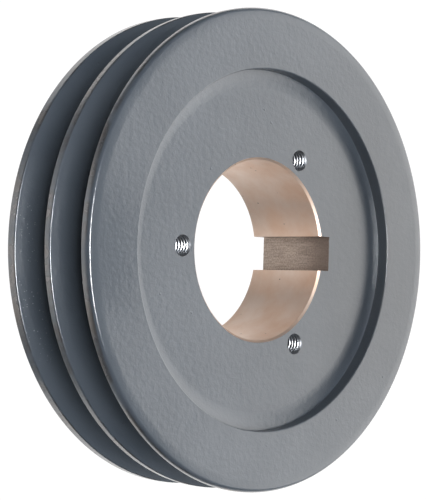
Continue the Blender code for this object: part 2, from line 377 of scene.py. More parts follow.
@dataclass(frozen=True)
class TurnedIron(Finish):
    """Bare turned iron with a tan film of oil and light rust."""

    pale: Colour = (0.74, 0.62, 0.54)
    tan: Colour = (0.66, 0.465, 0.345)
    grey: Colour = (0.60, 0.54, 0.49)
    pit: Colour = (0.16, 0.12, 0.10)
    roughness: float = 0.5

    def surface(self, graph: Graph) -> dict[str, object]:
        """Fine tool marks round the bore, blotches and dark pits.

        Args:
            graph: the material's graph.

        Returns:
            A value or a link for each socket that it sets.
        """
        place = graph.place()
        marks = graph.noise(graph.stretch(place, (90, 3200, 90)), 1, 3, 0.6)
        bands = graph.noise(graph.stretch(place, (25, 420, 25)), 1, 2)
        blotch = graph.noise(place, 75, 4, 0.6)
        pits = graph.dots(place, 420, 0.16, 0.06)
        film = graph.blend(self.pale, self.tan, blotch.ramp(0.2, 0.85))
        film = graph.blend(film, self.pit, pits * 0.8)
        film = graph.blend(film, self.grey, bands.ramp(0.55, 0.8) * 0.12)
        return {
            "Base Color": film,
            "Metallic": 0.72,
            "Roughness": self.roughness + (blotch - 0.5) * 0.25,
            "Normal": graph.bump(marks * 0.6 + bands * 0.4 - pits * 0.5, 0.000010),
        }


@dataclass(frozen=True)
class BroachedIron(Finish):
    """Rough broached iron, grey brown, torn in short lines along the cut and darker towards the front."""

    dark: Colour = (0.24, 0.19, 0.155)
    pale: Colour = (0.56, 0.46, 0.39)
    front_dark: Colour = (0.13, 0.095, 0.078)
    front_dark_along: tuple[float, float] = (0.004, -0.014)

    def surface(self, graph: Graph) -> dict[str, object]:
        """Torn lines along the keyway over a rough grain.

        Args:
            graph: the material's graph.

        Returns:
            A value or a link for each socket that it sets.
        """
        place = graph.place()
        lines = graph.noise(graph.stretch(place, (1900, 130, 1900)), 1, 3, 0.6)
        tear = graph.noise(place, 1500, 3, 0.7)
        body = graph.blend(self.dark, self.pale, (lines * 0.35 + tear * 0.65).ramp(0.32, 0.68))
        # Darker colour towards the front end of the keyway.
        front_dark = graph.split(place)[1].ramp(*self.front_dark_along)
        body = graph.blend(body, self.front_dark, front_dark * 0.75)
        return {
            "Base Color": body,
            "Metallic": 0.45,
            "Roughness": 0.5 + (tear - 0.5) * 0.3,
            "Normal": graph.bump(lines * 0.35 + tear * 0.8, 0.00005),
        }


@dataclass(frozen=True)
class CutThread(Finish):
    """Bright iron of a freshly tapped thread."""

    bright: Colour = (0.36, 0.37, 0.39)
    oily: Colour = (0.15, 0.145, 0.14)

    def surface(self, graph: Graph) -> dict[str, object]:
        """Bright flanks with oil left in them.

        Args:
            graph: the material's graph.

        Returns:
            A value or a link for each socket that it sets.
        """
        place = graph.place()
        stain = graph.noise(place, 900, 3, 0.6)
        return {
            "Base Color": graph.blend(self.bright, self.oily, stain.ramp(0.45, 0.75)),
            "Metallic": 0.8,
            "Roughness": 0.24 + stain * 0.15,
            "Normal": graph.bump(stain, 0.000004),
        }


@dataclass(frozen=True)
class Phosphate(Finish):
    """Turned iron under a dark phosphate coat."""

    dark: Colour = (0.058, 0.057, 0.056)
    pale: Colour = (0.115, 0.112, 0.108)

    def surface(self, graph: Graph) -> dict[str, object]:
        """Turning marks across the shaft line and a fine crystal grain.

        Args:
            graph: the material's graph.

        Returns:
            A value or a link for each socket that it sets.
        """
        place = graph.place()
        x, y, z = graph.split(place)
        radius = (x * x + z * z).root()
        rings = graph.noise(graph.join(radius * 2400, y * 2400, 0.0), 1, 2)
        grain = graph.noise(place, 1800, 2)
        cloud = graph.noise(place, 45, 3)
        return {
            "Base Color": graph.blend(self.dark, self.pale, (cloud * 0.6 + grain * 0.4).ramp(0.35, 0.65)),
            "Metallic": 0.55,
            "Roughness": 0.43 + (grain - 0.5) * 0.2,
            "Normal": graph.bump(rings * 0.7 + grain * 0.3, 0.000012),
        }


@dataclass(frozen=True)
class DrawnSteel(Finish):
    """Cold drawn key steel with its lines along the bar."""

    bright: Colour = (0.56, 0.55, 0.53)
    dull: Colour = (0.38, 0.37, 0.355)

    def surface(self, graph: Graph) -> dict[str, object]:
        """Drawing lines along the bar and faint stains.

        Args:
            graph: the material's graph.

        Returns:
            A value or a link for each socket that it sets.
        """
        place = graph.place()
        lines = graph.noise(graph.stretch(place, (3200, 40, 3200)), 1, 3)
        stain = graph.noise(place, 120, 4, 0.6)
        return {
            "Base Color": graph.blend(self.bright, self.dull, stain.ramp(0.4, 0.7)),
            "Metallic": 1.0,
            "Roughness": 0.3 + (lines - 0.5) * 0.2,
            "Normal": graph.bump(lines, 0.000008),
        }


@dataclass(frozen=True)
class ZincPlate(Finish):
    """Bright zinc plate, slightly clouded."""

    bright: Colour = (0.68, 0.69, 0.70)
    cloudy: Colour = (0.48, 0.48, 0.47)

    def surface(self, graph: Graph) -> dict[str, object]:
        """Clouds in the plate over a fine grain.

        Args:
            graph: the material's graph.

        Returns:
            A value or a link for each socket that it sets.
        """
        place = graph.place()
        cloud = graph.noise(place, 260, 3)
        grain = graph.noise(place, 3000, 2)
        return {
            "Base Color": graph.blend(self.bright, self.cloudy, cloud.ramp(0.4, 0.75)),
            "Metallic": 1.0,
            "Roughness": 0.26 + (cloud - 0.5) * 0.2,
            "Normal": graph.bump(grain, 0.000005),
        }


@dataclass(frozen=True)
class BlackOxide(Finish):
    """Black oxide on hardened steel, rubbed grey where it is handled."""

    black: Colour = (0.018, 0.018, 0.02)
    rubbed: Colour = (0.09, 0.088, 0.085)

    def surface(self, graph: Graph) -> dict[str, object]:
        """Oily black with rubbed patches.

        Args:
            graph: the material's graph.

        Returns:
            A value or a link for each socket that it sets.
        """
        place = graph.place()
        patch = graph.noise(place, 500, 3, 0.6)
        return {
            "Base Color": graph.blend(self.black, self.rubbed, patch.ramp(0.5, 0.75)),
            "Metallic": 0.85,
            "Roughness": 0.3 + patch * 0.15,
            "Normal": graph.bump(patch, 0.000008),
        }


ENAMEL = Enamel("sprayed_enamel")
TURNED_IRON = TurnedIron("turned_iron")
BROACHED_IRON = BroachedIron("broached_iron")
CUT_THREAD = CutThread("cut_thread")
PHOSPHATE = Phosphate("phosphate_coat")
DRAWN_STEEL = DrawnSteel("drawn_steel")
ZINC_PLATE = ZincPlate("zinc_plate")
BLACK_OXIDE = BlackOxide("black_oxide")


@dataclass(frozen=True)
class Corner:
    """A corner of a turned section: its radius from the centre line, its place along it, and its fillet."""

    radius: float
    along: float
    fillet: float = 0.0
    segments: int = 5

    @property
    def place(self) -> Vector:
        """The corner's place in the section's plane."""
        return Vector((self.radius, self.along, 0))


class Blank:
    """A piece of stock that bmesh operators shape."""

    def __init__(self) -> None:
        """Start with no stock."""
        self.mesh = bmesh.new()

    @classmethod
    def turned(cls, corners: Sequence[Corner], steps: int) -> Blank:
        """Turn a closed section about the Y axis.

        Args:
            corners: the section, in order. A corner on the centre line closes the shape there.
            steps: facets round the shape.

        Returns:
            The turned blank.
        """
        blank = cls()
        mesh = blank.mesh
        verts = [mesh.verts.new(corner.place) for corner in corners]
        mesh.faces.new(verts)
        for index, corner in enumerate(corners):
            if not corner.fillet:
                continue
            before = corners[index - 1].place - corner.place
            after = corners[(index + 1) % len(corners)].place - corner.place
            turn = math.pi - before.angle(after)
            bmesh.ops.bevel(
                mesh, geom=[verts[index]], offset=corner.fillet * math.tan(turn / 2), offset_type="ABSOLUTE",
                affect="VERTICES", segments=corner.segments, profile=0.5, material=-1,
            )
        bmesh.ops.delete(mesh, geom=mesh.faces[:], context="FACES_ONLY")
        on_axis = [edge for edge in mesh.edges if all(abs(v.co.x) < MERGE for v in edge.verts)]
        bmesh.ops.delete(mesh, geom=on_axis, context="EDGES")
        bmesh.ops.spin(
            mesh, geom=mesh.verts[:] + mesh.edges[:], cent=(0, 0, 0), axis=(0, 1, 0),
            angle=math.tau, steps=steps, use_merge=True,
        )
        return blank.closed()

    @classmethod
    def threaded(cls, thread: Thread, low: float, high: float) -> Blank:
        """A rod with a right-hand thread along the Y axis, cut square at both ends.

        Args:
            thread: the thread's form.
            low: its first end.
            high: its last end.

        Returns:
            The threaded rod, closed at both ends.
        """
        blank = cls()
        mesh = blank.mesh
        turns = math.ceil((high - low) / thread.pitch) + 2
        first = math.floor((low - thread.phase) / thread.pitch) - 1
        start = thread.phase + first * thread.pitch
        rise = thread.pitch / 2 - thread.crest / 2 - thread.flank
        section = [
            (thread.minor_r, 0.0),
            (thread.minor_r, rise),
            (thread.major_r, rise + thread.flank),
            (thread.major_r, rise + thread.flank + thread.crest),
            (thread.minor_r, thread.pitch - rise),
            (thread.minor_r, thread.pitch),
        ]
        verts = [mesh.verts.new((radius, start + along, 0.0)) for radius, along in section]
        for near, far in zip(verts, verts[1:]):
            mesh.edges.new((near, far))
        bmesh.ops.spin(
            mesh, geom=mesh.verts[:] + mesh.edges[:], cent=(0, 0, 0), axis=(0, 1, 0),
            dvec=(0, thread.pitch / thread.steps, 0), angle=math.tau * turns, steps=turns * thread.steps,
        )
        bmesh.ops.remove_doubles(mesh, verts=mesh.verts[:], dist=MERGE)
        for place, normal in ((low, -1), (high, 1)):
            bmesh.ops.bisect_plane(
                mesh, geom=mesh.verts[:] + mesh.edges[:] + mesh.faces[:], dist=MERGE,
                plane_co=(0, place, 0), plane_no=(0, normal, 0), clear_outer=True,
            )
            open_edges = (edge for edge in mesh.edges if edge.is_boundary)
            rim = [edge for edge in open_edges if all(abs(v.co.y - place) < MERGE for v in edge.verts)]
            bmesh.ops.holes_fill(mesh, edges=rim, sides=0)
        return blank.closed()

    @classmethod
    def bar(cls, low: Sequence[float], high: Sequence[float]) -> Blank:
        """A square bar between two corners.

        Args:
            low: its lowest corner.
            high: its highest corner.

        Returns:
            The bar.
        """
        blank = cls()
        bmesh.ops.create_cube(blank.mesh, size=1)
        size = Vector(high) - Vector(low)
        bmesh.ops.scale(blank.mesh, vec=size, verts=blank.mesh.verts)
        bmesh.ops.translate(blank.mesh, vec=Vector(low) + size / 2, verts=blank.mesh.verts)
        return blank

    @classmethod
    def hexagon(cls, across_flats: float, low: float, high: float) -> Blank:
        """A hexagonal bar along the Y axis.

        Args:
            across_flats: its width between two flats.
            low: its first end.
            high: its last end.

        Returns:
            The bar.
        """
        blank = cls()
        corner_r = across_flats / math.sqrt(3)
        bmesh.ops.create_cone(
            blank.mesh, cap_ends=True, segments=6, radius1=corner_r, radius2=corner_r, depth=high - low,
            matrix=Matrix.Translation((0, (low + high) / 2, 0)) @ UPRIGHT,
        )
        return blank

    def closed(self) -> Blank:
        """Weld what touches and turn every face outwards.

        Returns:
            The same blank.
        """
        bmesh.ops.remove_doubles(self.mesh, verts=self.mesh.verts[:], dist=MERGE)
        bmesh.ops.recalc_face_normals(self.mesh, faces=self.mesh.faces[:])
        return self

    def moved(self, matrix: Matrix) -> Blank:
        """Turn and shift the blank."""
        bmesh.ops.transform(self.mesh, matrix=matrix, verts=self.mesh.verts[:])
        return self

    def divided(self, counts: Sequence[int]) -> Blank:
        """Divide the edges that run along each axis into more pieces.

        Args:
            counts: cuts in the edges along X, Y and Z.

        Returns:
            The same blank.
        """
        for axis, cuts in enumerate(counts):
            edges = [
                edge for edge in self.mesh.edges
                if abs((edge.verts[0].co - edge.verts[1].co).normalized()[axis]) > 0.99
            ]
            bmesh.ops.subdivide_edges(self.mesh, edges=edges, cuts=cuts, use_grid_fill=True)
        return self

    def edged(self, width: float, segments: int = 2) -> Blank:
        """Round every edge of the blank.

        Args:
            width: of the rounding, on each face.
            segments: facets across it.

        Returns:
            The same blank.
        """
        bmesh.ops.bevel(
            self.mesh, geom=self.mesh.edges[:], offset=width, offset_type="OFFSET",
            affect="EDGES", segments=segments, profile=0.5, material=-1,
        )
        return self

    def tool(self, finish: Finish | None = None) -> bpy.types.Object:
        """The blank as a loose object, to cut or join with.

        Args:
            finish: what it leaves on the faces that it makes.

        Returns:
            The object, at the origin.
        """
        data = bpy.data.meshes.new("tool")
        if finish:
            data.materials.append(finish.material())
        self.mesh.to_mesh(data)
        self.mesh.free()
        made = bpy.data.objects.new("tool", data)
        bpy.context.scene.collection.objects.link(made)
        return made


@dataclass(frozen=True)
class Thread:
    """A right-hand thread's form. Its crest at +X stands at phase, and again every pitch."""

    major_r: float
    minor_r: float
    pitch: float = THREAD_PITCH
    phase: float = 0.0
    crest: float = 0.00016
    steps: int = 28

    @property
    def flank(self) -> float:
        """How far along the thread each flank runs."""
        return (self.major_r - self.minor_r) * math.tan(math.radians(30))


@dataclass
class Piece:
    """A finished piece in the making: a blank with what is cut from it and joined to it."""

    name: str
    body: str
    slot: Slot
    nodes: tuple[str, ...]
    finishes: tuple[Finish, ...]
    obj: bpy.types.Object = field(init=False)

    def start(self, blank: Blank) -> None:
        """Put the blank on the bench.

        Args:
            blank: the stock, in place.
        """
        self.obj = blank.tool()
        for finish in self.finishes:
            self.obj.data.materials.append(finish.material())

    def work(self, kind: Work, tools: Iterable[bpy.types.Object]) -> None:
        """Use each tool on the piece and put it away.

        Args:
            kind: what the tools do.
            tools: closed shapes. A tool with a material leaves it on the faces that it makes.
        """
        for tool in tools:
            step = self.obj.modifiers.new("work", "BOOLEAN")
            step.operation = kind.value
            step.solver = "EXACT"
            step.material_mode = "TRANSFER"
            step.object = tool
            graph = bpy.context.evaluated_depsgraph_get()
            worked = bpy.data.meshes.new_from_object(self.obj.evaluated_get(graph))
            self.obj.modifiers.clear()
            old, self.obj.data = self.obj.data, worked
            bpy.data.meshes.remove(old)
            bpy.data.meshes.remove(tool.data)

    def lay_finish(self, index: int, where: Callable[[Vector], bool]) -> None:
        """Give one of the piece's finishes to the faces whose middle passes a test.

        Args:
            index: the finish's place in the piece's list.
            where: the test of a face's middle.
        """
        for face in self.obj.data.polygons:
            if where(face.center):
                face.material_index = index

    def finish(self) -> bpy.types.Object:
        """Shade the piece, name it, and let it ride on its body in place of its CAD nodes.

        Returns:
            The finished object.
        """
        mesh = self.obj.data
        shape = bmesh.new()
        shape.from_mesh(mesh)
        bmesh.ops.remove_doubles(shape, verts=shape.verts[:], dist=MERGE)
        bmesh.ops.dissolve_degenerate(shape, edges=shape.edges[:], dist=MERGE)
        shape.to_mesh(mesh)
        shape.free()
        mesh.shade_smooth()
        mesh.set_sharp_from_angle(angle=FLAT_TURN)
        weights = self.obj.modifiers.new("Face weighted normals", "WEIGHTED_NORMAL")
        weights.keep_sharp = True
        self.obj.name = mesh.name = self.name
        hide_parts(*self.nodes)
        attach(self.obj, self.body)
        log.info("%s: %d faces, rides on %s", self.name, len(mesh.polygons), self.body)
        return self.obj


def on_circle(radius: float, degrees: float, along: float = 0.0) -> Vector:
    """A place at a radius from the shaft line, its angle counted from +X towards +Z."""
    angle = math.radians(degrees)
    return Vector((radius * math.cos(angle), along, radius * math.sin(angle)))


def countersink(radius: float, chamfer: float, at: float, inwards: int, place: Vector) -> bpy.types.Object:
    """A cone that breaks the edge of a hole along the shaft.

    Args:
        radius: of the hole.
        chamfer: width of the broken edge.
        at: place of the face along the shaft.
        inwards: 1 if the hole goes towards +Y from there, or -1.
        place: the hole's centre.

    Returns:
        The cutter.
    """
    over = 0.0006
    cone = [
        Corner(0.0, at - over * inwards),
        Corner(radius + chamfer + over, at - over * inwards),
        Corner(radius - over, at + (chamfer + over) * inwards),
        Corner(0.0, at + (chamfer + over) * inwards),
    ]
    return Blank.turned(cone, 36).moved(Matrix.Translation((place.x, 0, place.z))).tool(CUT_THREAD)


@dataclass
class SheaveCasting:
    """The grooved rim, recessed web and tapered hub, which are one casting.

    Sizes that the frame holds come from it.
    """

    groove_top: float = 0.0162
    groove_depth: float = 0.0152
    groove_angle: float = math.radians(34)
    end_land: float = 0.003875
    middle_land: float = 0.00285
    face_fillet: float = 0.0025
    crown_width: float = 0.0030
    crown_slope: float = math.radians(9)
    crown_blend: float = 0.021
    rear_fillet: float = 0.0006
    rear_recess_fillet: float = 0.001
    land_fillet: float = 0.0006
    groove_fillet: float = 0.0016
    recess_r: float = 0.0662
    recess_edge: float = 0.0005
    cove_width: float = 0.0046
    cove_rise: float = 0.0010
    cove_ledge: float = 0.0005
    cove_blend: float = 0.016
    cove_crest: float = 0.00025
    cove_root: float = 0.0002
    rim_draft: float = math.radians(3)
    cast_fillet: float = 0.0035
    hub_draft: float = 0.0008
    hub_fillet: float = 0.0012
    bore_taper: float = 1 / 16
    bore_r: float = 0.03335
    bore_chamfer: float = 0.00075
    keyway_width: float = 0.013
    keyway_depth: float = 0.00465
    keyway_tear: float = 0.00009
    keyway_burst: float = 2.2
    keyway_burst_reach: float = 0.0012
    tap_major_r: float = 0.0040
    tap_minor_r: float = 0.0034
    screw_angles: tuple[float, ...] = (60, 180, 300)
    hole_chamfer: float = 0.0005
    steps: int = 288

    def __post_init__(self) -> None:
        """Read the overall sizes from the frame."""
        rim_low, rim_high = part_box("rim_barrel")
        hub_low, hub_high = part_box("hub")
        self.front, self.rear = rim_low.y, rim_high.y
        self.outside_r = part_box("middle_flange")[1].x
        self.hub_front, self.hub_rear, self.hub_r = hub_low.y, hub_high.y, hub_high.z
        self.web_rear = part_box("web_disc")[1].y
        self.keyway_floor_r = self.bore_r + self.keyway_depth
        self.piece = Piece(
            "sheave_casting", "sheave", Slot.ENAMEL,
            ("front_flange", "middle_flange", "rear_flange", "rim_barrel", "web_disc", "hub"),
            (ENAMEL, TURNED_IRON),
        )

    def bore_radius(self, along: float) -> float:
        """Radius of the tapered bore at a place along the shaft."""
        return self.bore_r - (along - self.hub_front) * self.bore_taper / 2

    def groove(self, start: float) -> list[Corner]:
        """The four corners of a groove whose front corner stands at start.

        Args:
            start: place of its front corner along the shaft.

        Returns:
            The corners, front to rear.
        """
        flare = self.groove_depth * math.tan(self.groove_angle / 2)
        end = start + self.groove_top
        bottom = self.outside_r - self.groove_depth
        return [
            Corner(self.outside_r, start, self.land_fillet),
            Corner(bottom, start + flare, self.groove_fillet),
            Corner(bottom, end - flare, self.groove_fillet),
            Corner(self.outside_r, end, self.land_fillet),
        ]

    def section(self) -> list[Corner]:
        """The casting's section, out over the rim from the recess and back through the pocket and the bore.

        Returns:
            The corners, in order.
        """
        first = self.front + self.end_land
        second = first + self.groove_top + self.middle_land
        ledge_r = self.recess_r - self.cove_ledge
        ledge = self.hub_front - self.cove_rise
        rear_r = self.recess_r + (self.rear - self.web_rear) * math.tan(self.rim_draft)
        crown_drop = self.crown_width * math.tan(self.crown_slope)
        chamfer = self.bore_chamfer
        return [
            Corner(self.recess_r, self.front, self.recess_edge, 4),
            Corner(self.outside_r - self.crown_width, self.front, self.crown_blend, 12),
            Corner(self.outside_r, self.front + crown_drop, self.face_fillet, 9),
            *self.groove(first),
            *self.groove(second),
            Corner(self.outside_r, self.rear, self.rear_fillet, 5),
            Corner(rear_r, self.rear, self.rear_recess_fillet, 4),
            Corner(self.recess_r, self.web_rear, self.cast_fillet, 7),
            Corner(self.hub_r, self.web_rear, self.cast_fillet, 7),
            Corner(self.hub_r - self.hub_draft, self.hub_rear, self.hub_fillet, 4),
            Corner(self.bore_radius(self.hub_rear) + chamfer, self.hub_rear),
            Corner(self.bore_radius(self.hub_rear - chamfer), self.hub_rear - chamfer),
            Corner(self.bore_radius(self.hub_front + chamfer), self.hub_front + chamfer),
            Corner(self.bore_radius(self.hub_front) + chamfer, self.hub_front),
            Corner(ledge_r - self.cove_width, self.hub_front, self.cove_blend, 6),
            Corner(ledge_r, ledge, self.cove_crest, 3),
            Corner(self.recess_r, ledge, self.cove_root, 3),
        ]

    def keyway(self) -> bpy.types.Object:
        """The broach's cut, its walls torn a little, most of all where it breaks out at the front.

        Returns:
            The cutter.
        """
        over = 0.002
        blank = Blank.bar(
            (self.bore_r - 0.006, self.hub_front - over, -self.keyway_width / 2),
            (self.keyway_floor_r, self.hub_rear + over, self.keyway_width / 2),
        ).divided((8, 70, 22))
        for vert in blank.mesh.verts:
            place = vert.co
            lines = noise.noise(Vector((place.x * 1500, place.y * 60, place.z * 1500)))
            torn = noise.noise(Vector((place.x * 900, place.y * 500, place.z * 900 + 7)))
            inwards = (place.y - self.hub_front) / self.keyway_burst_reach
            burst = 1 + self.keyway_burst * math.exp(-(inwards**2))
            depth = self.keyway_tear * burst * (0.55 * lines + 0.6 * torn)
            if place.x > self.keyway_floor_r - MERGE:
                vert.co.x += depth
            elif abs(place.z) > self.keyway_width / 2 - MERGE:
                vert.co.z += math.copysign(depth, place.z)
        bmesh.ops.recalc_face_normals(blank.mesh, faces=blank.mesh.faces[:])
        return blank.tool(BROACHED_IRON)

    def tapped_holes(self) -> list[bpy.types.Object]:
        """The taps and countersinks of the three screw holes.

        Returns:
            The cutters.
        """
        over = 0.001
        form = Thread(self.tap_major_r, self.tap_minor_r)
        cutters = []
        for angle in self.screw_angles:
            place = on_circle(SCREW_CIRCLE_R, angle)
            tap = Blank.threaded(form, self.hub_front - over, self.hub_rear + over)
            cutters.append(tap.moved(Matrix.Translation(place)).tool(CUT_THREAD))
            cutters.append(countersink(form.minor_r, self.hole_chamfer, self.hub_front, 1, place))
            cutters.append(countersink(form.minor_r, self.hole_chamfer, self.hub_rear, -1, place))
        return cutters

    def build(self) -> None:
        """Turn, broach, tap and paint the casting."""
        self.piece.start(Blank.turned(self.section(), self.steps))
        reach = self.bore_r + self.bore_chamfer + MERGE
        self.piece.lay_finish(1, lambda middle: math.hypot(middle.x, middle.z) < reach)
        self.piece.work(Work.CUT, [self.keyway(), *self.tapped_holes()])
        self.piece.finish()


@dataclass
class SplitBushing:
    """The flanged split bushing with its key and the threaded hole for its set screw. Its places come from
    the frame.
    """

    shaft_r: float = 0.01905
    flange_thickness: float = 0.0127
    taper: float = 1 / 16
    edge: float = 0.0008
    split_width: float = 0.0024
    split_angle: float = 240
    shaft_keyway_width: float = 0.0095
    shaft_keyway_depth: float = 0.0047
    clearance_r: float = 0.00435
    jack_r: float = 0.0034
    hole_edge: float = 0.0005
    sheave_bore_r: float = 0.03335
    fit: float = 0.0003
    stand_off: float = 0.0032
    neck_fillet: float = 0.0006
    clearance_angles: tuple[float, ...] = (60, 180, 300)
    jack_angles: tuple[float, ...] = (0, 120)
    set_screw_tap: tuple[float, float] = (0.00365, 0.00325)
    steps: int = 192

    def __post_init__(self) -> None:
        """Read the bushing's place from the frame."""
        low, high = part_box("split_taper_bushing")
        self.front, self.tip, self.flange_r = low.y, high.y, high.z
        self.back = self.front + self.flange_thickness
        self.key_low, self.key_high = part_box("bushing_key")
        self.barrel_r = self.key_high.x

    def section(self, barrel_back_r: float) -> list[Corner]:
        """The bushing's section, from its bore outwards.

        Args:
            barrel_back_r: the barrel's radius where it meets the flange.

        Returns:
            The corners, in order.
        """
        tip_r = barrel_back_r - (self.tip - self.back) * self.taper / 2
        return [
            Corner(self.shaft_r, self.front, self.edge, 3),
            Corner(self.flange_r, self.front, self.edge, 4),
            Corner(self.flange_r, self.back, self.edge, 4),
            Corner(barrel_back_r, self.back, self.neck_fillet, 4),
            Corner(tip_r, self.tip, self.edge, 4),
            Corner(self.shaft_r, self.tip, self.edge, 3),
        ]

    def slots(self) -> list[bpy.types.Object]:
        """The slit, the shaft's keyway and the seat of the outer key.

        Returns:
            The cutters.
        """
        over = 0.001
        slit = Blank.bar(
            (0, self.front - over, -self.split_width / 2),
            (self.flange_r + over, self.tip + over, self.split_width / 2),
        ).moved(Matrix.Rotation(-math.radians(self.split_angle), 4, "Y"))
        shaft_keyway = Blank.bar(
            (-self.shaft_keyway_width / 2, self.front - over, 0),
            (self.shaft_keyway_width / 2, self.tip + over, self.shaft_r + self.shaft_keyway_depth),
        )
        seat = Blank.bar(
            (self.key_low.x - self.fit, self.key_low.y - self.fit, self.key_low.z - self.fit),
            (self.key_high.x + over, self.tip + over, self.key_high.z + self.fit),
        )
        return [slit.tool(PHOSPHATE), shaft_keyway.tool(PHOSPHATE), seat.tool(PHOSPHATE)]

    def holes(self) -> list[bpy.types.Object]:
        """The clearance holes, the threaded jack holes and the set screw's threaded hole.

        Returns:
            The cutters.
        """
        over = 0.001
        cutters = []
        for angle in self.clearance_angles:
            drill = [
                Corner(0, self.front - over),
                Corner(self.clearance_r + self.hole_edge + over, self.front - over),
                Corner(self.clearance_r, self.front + self.hole_edge),
                Corner(self.clearance_r, self.back - self.hole_edge),
                Corner(self.clearance_r + self.hole_edge + over, self.back + over),
                Corner(0, self.back + over),
            ]
            place = Matrix.Translation(on_circle(SCREW_CIRCLE_R, angle))
            cutters.append(Blank.turned(drill, 40).moved(place).tool(PHOSPHATE))
        for angle in self.jack_angles:
            place = on_circle(SCREW_CIRCLE_R, angle)
            form = Thread(self.jack_r + 0.0003, self.jack_r - 0.0002)
            tap = Blank.threaded(form, self.front - over, self.back + over)
            cutters.append(tap.moved(Matrix.Translation(place)).tool(CUT_THREAD))
            cutters.append(countersink(self.jack_r, self.hole_edge, self.front, 1, place))
        form = Thread(*self.set_screw_tap, pitch=SetScrew.pitch)
        tap = Blank.threaded(form, self.shaft_r - over, self.flange_r + over)
        middle = Matrix.Translation((0, (self.front + self.back) / 2, 0))
        cutters.append(tap.moved(middle @ UPRIGHT).tool(CUT_THREAD))
        return cutters

    def build(self) -> None:
        """Make the bushing, with the threaded hole for its set screw, and its key."""
        shell = Piece(
            "taper_bushing_shell", "bushing", Slot.BUSHING, ("split_taper_bushing",), (PHOSPHATE,)
        )
        barrel_back_r = self.sheave_bore_r - self.fit + self.stand_off * self.taper / 2
        shell.start(Blank.turned(self.section(barrel_back_r), self.steps))
        shell.work(Work.CUT, [*self.slots(), *self.holes()])
        shell.finish()
        key = Piece("bushing_key_bar", "bushing", Slot.KEY, ("bushing_key",), (DRAWN_STEEL,))
        key.start(Blank.bar(self.key_low, self.key_high).edged(0.0004))
        key.finish()


@dataclass
class SetScrew:
    """The cup-pointed socket set screw over the shaft's key."""

    radius: float = 0.00315
    depth: float = 0.0005
    socket: float = 0.0032
    edge: float = 0.0006
    cup_r: float = 0.0014
    cup_depth: float = 0.0009
    pitch: float = INCH / 20

    def build(self) -> None:
        """Thread the screw, point it and sink its socket."""
        low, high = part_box("key_set_screw")
        middle = (low + high) / 2
        tip, top = low.z, high.z
        edge = self.edge
        piece = Piece("set_screw_body", "set_screw", Slot.BLACK, ("key_set_screw",), (BLACK_OXIDE,))
        rod = Blank.threaded(Thread(self.radius, self.radius - self.depth, self.pitch), tip, top)
        piece.start(rod)
        turned = [
            Corner(0, tip + self.cup_depth),
            Corner(self.cup_r, tip),
            Corner(self.radius - edge, tip),
            Corner(self.radius + 0.0002, tip + edge),
            Corner(self.radius + 0.0002, top - edge),
            Corner(self.radius - edge, top),
            Corner(0, top),
        ]
        piece.work(Work.TRIM, [Blank.turned(turned, 40).tool(BLACK_OXIDE)])
        socket = Blank.hexagon(self.socket, top - (top - tip) / 2, top + edge)
        piece.work(Work.CUT, [socket.tool(BLACK_OXIDE)])
        turn = Matrix.Translation((middle.x, middle.y, 0)) @ UPRIGHT
        piece.obj.data.transform(turn)
        piece.finish()


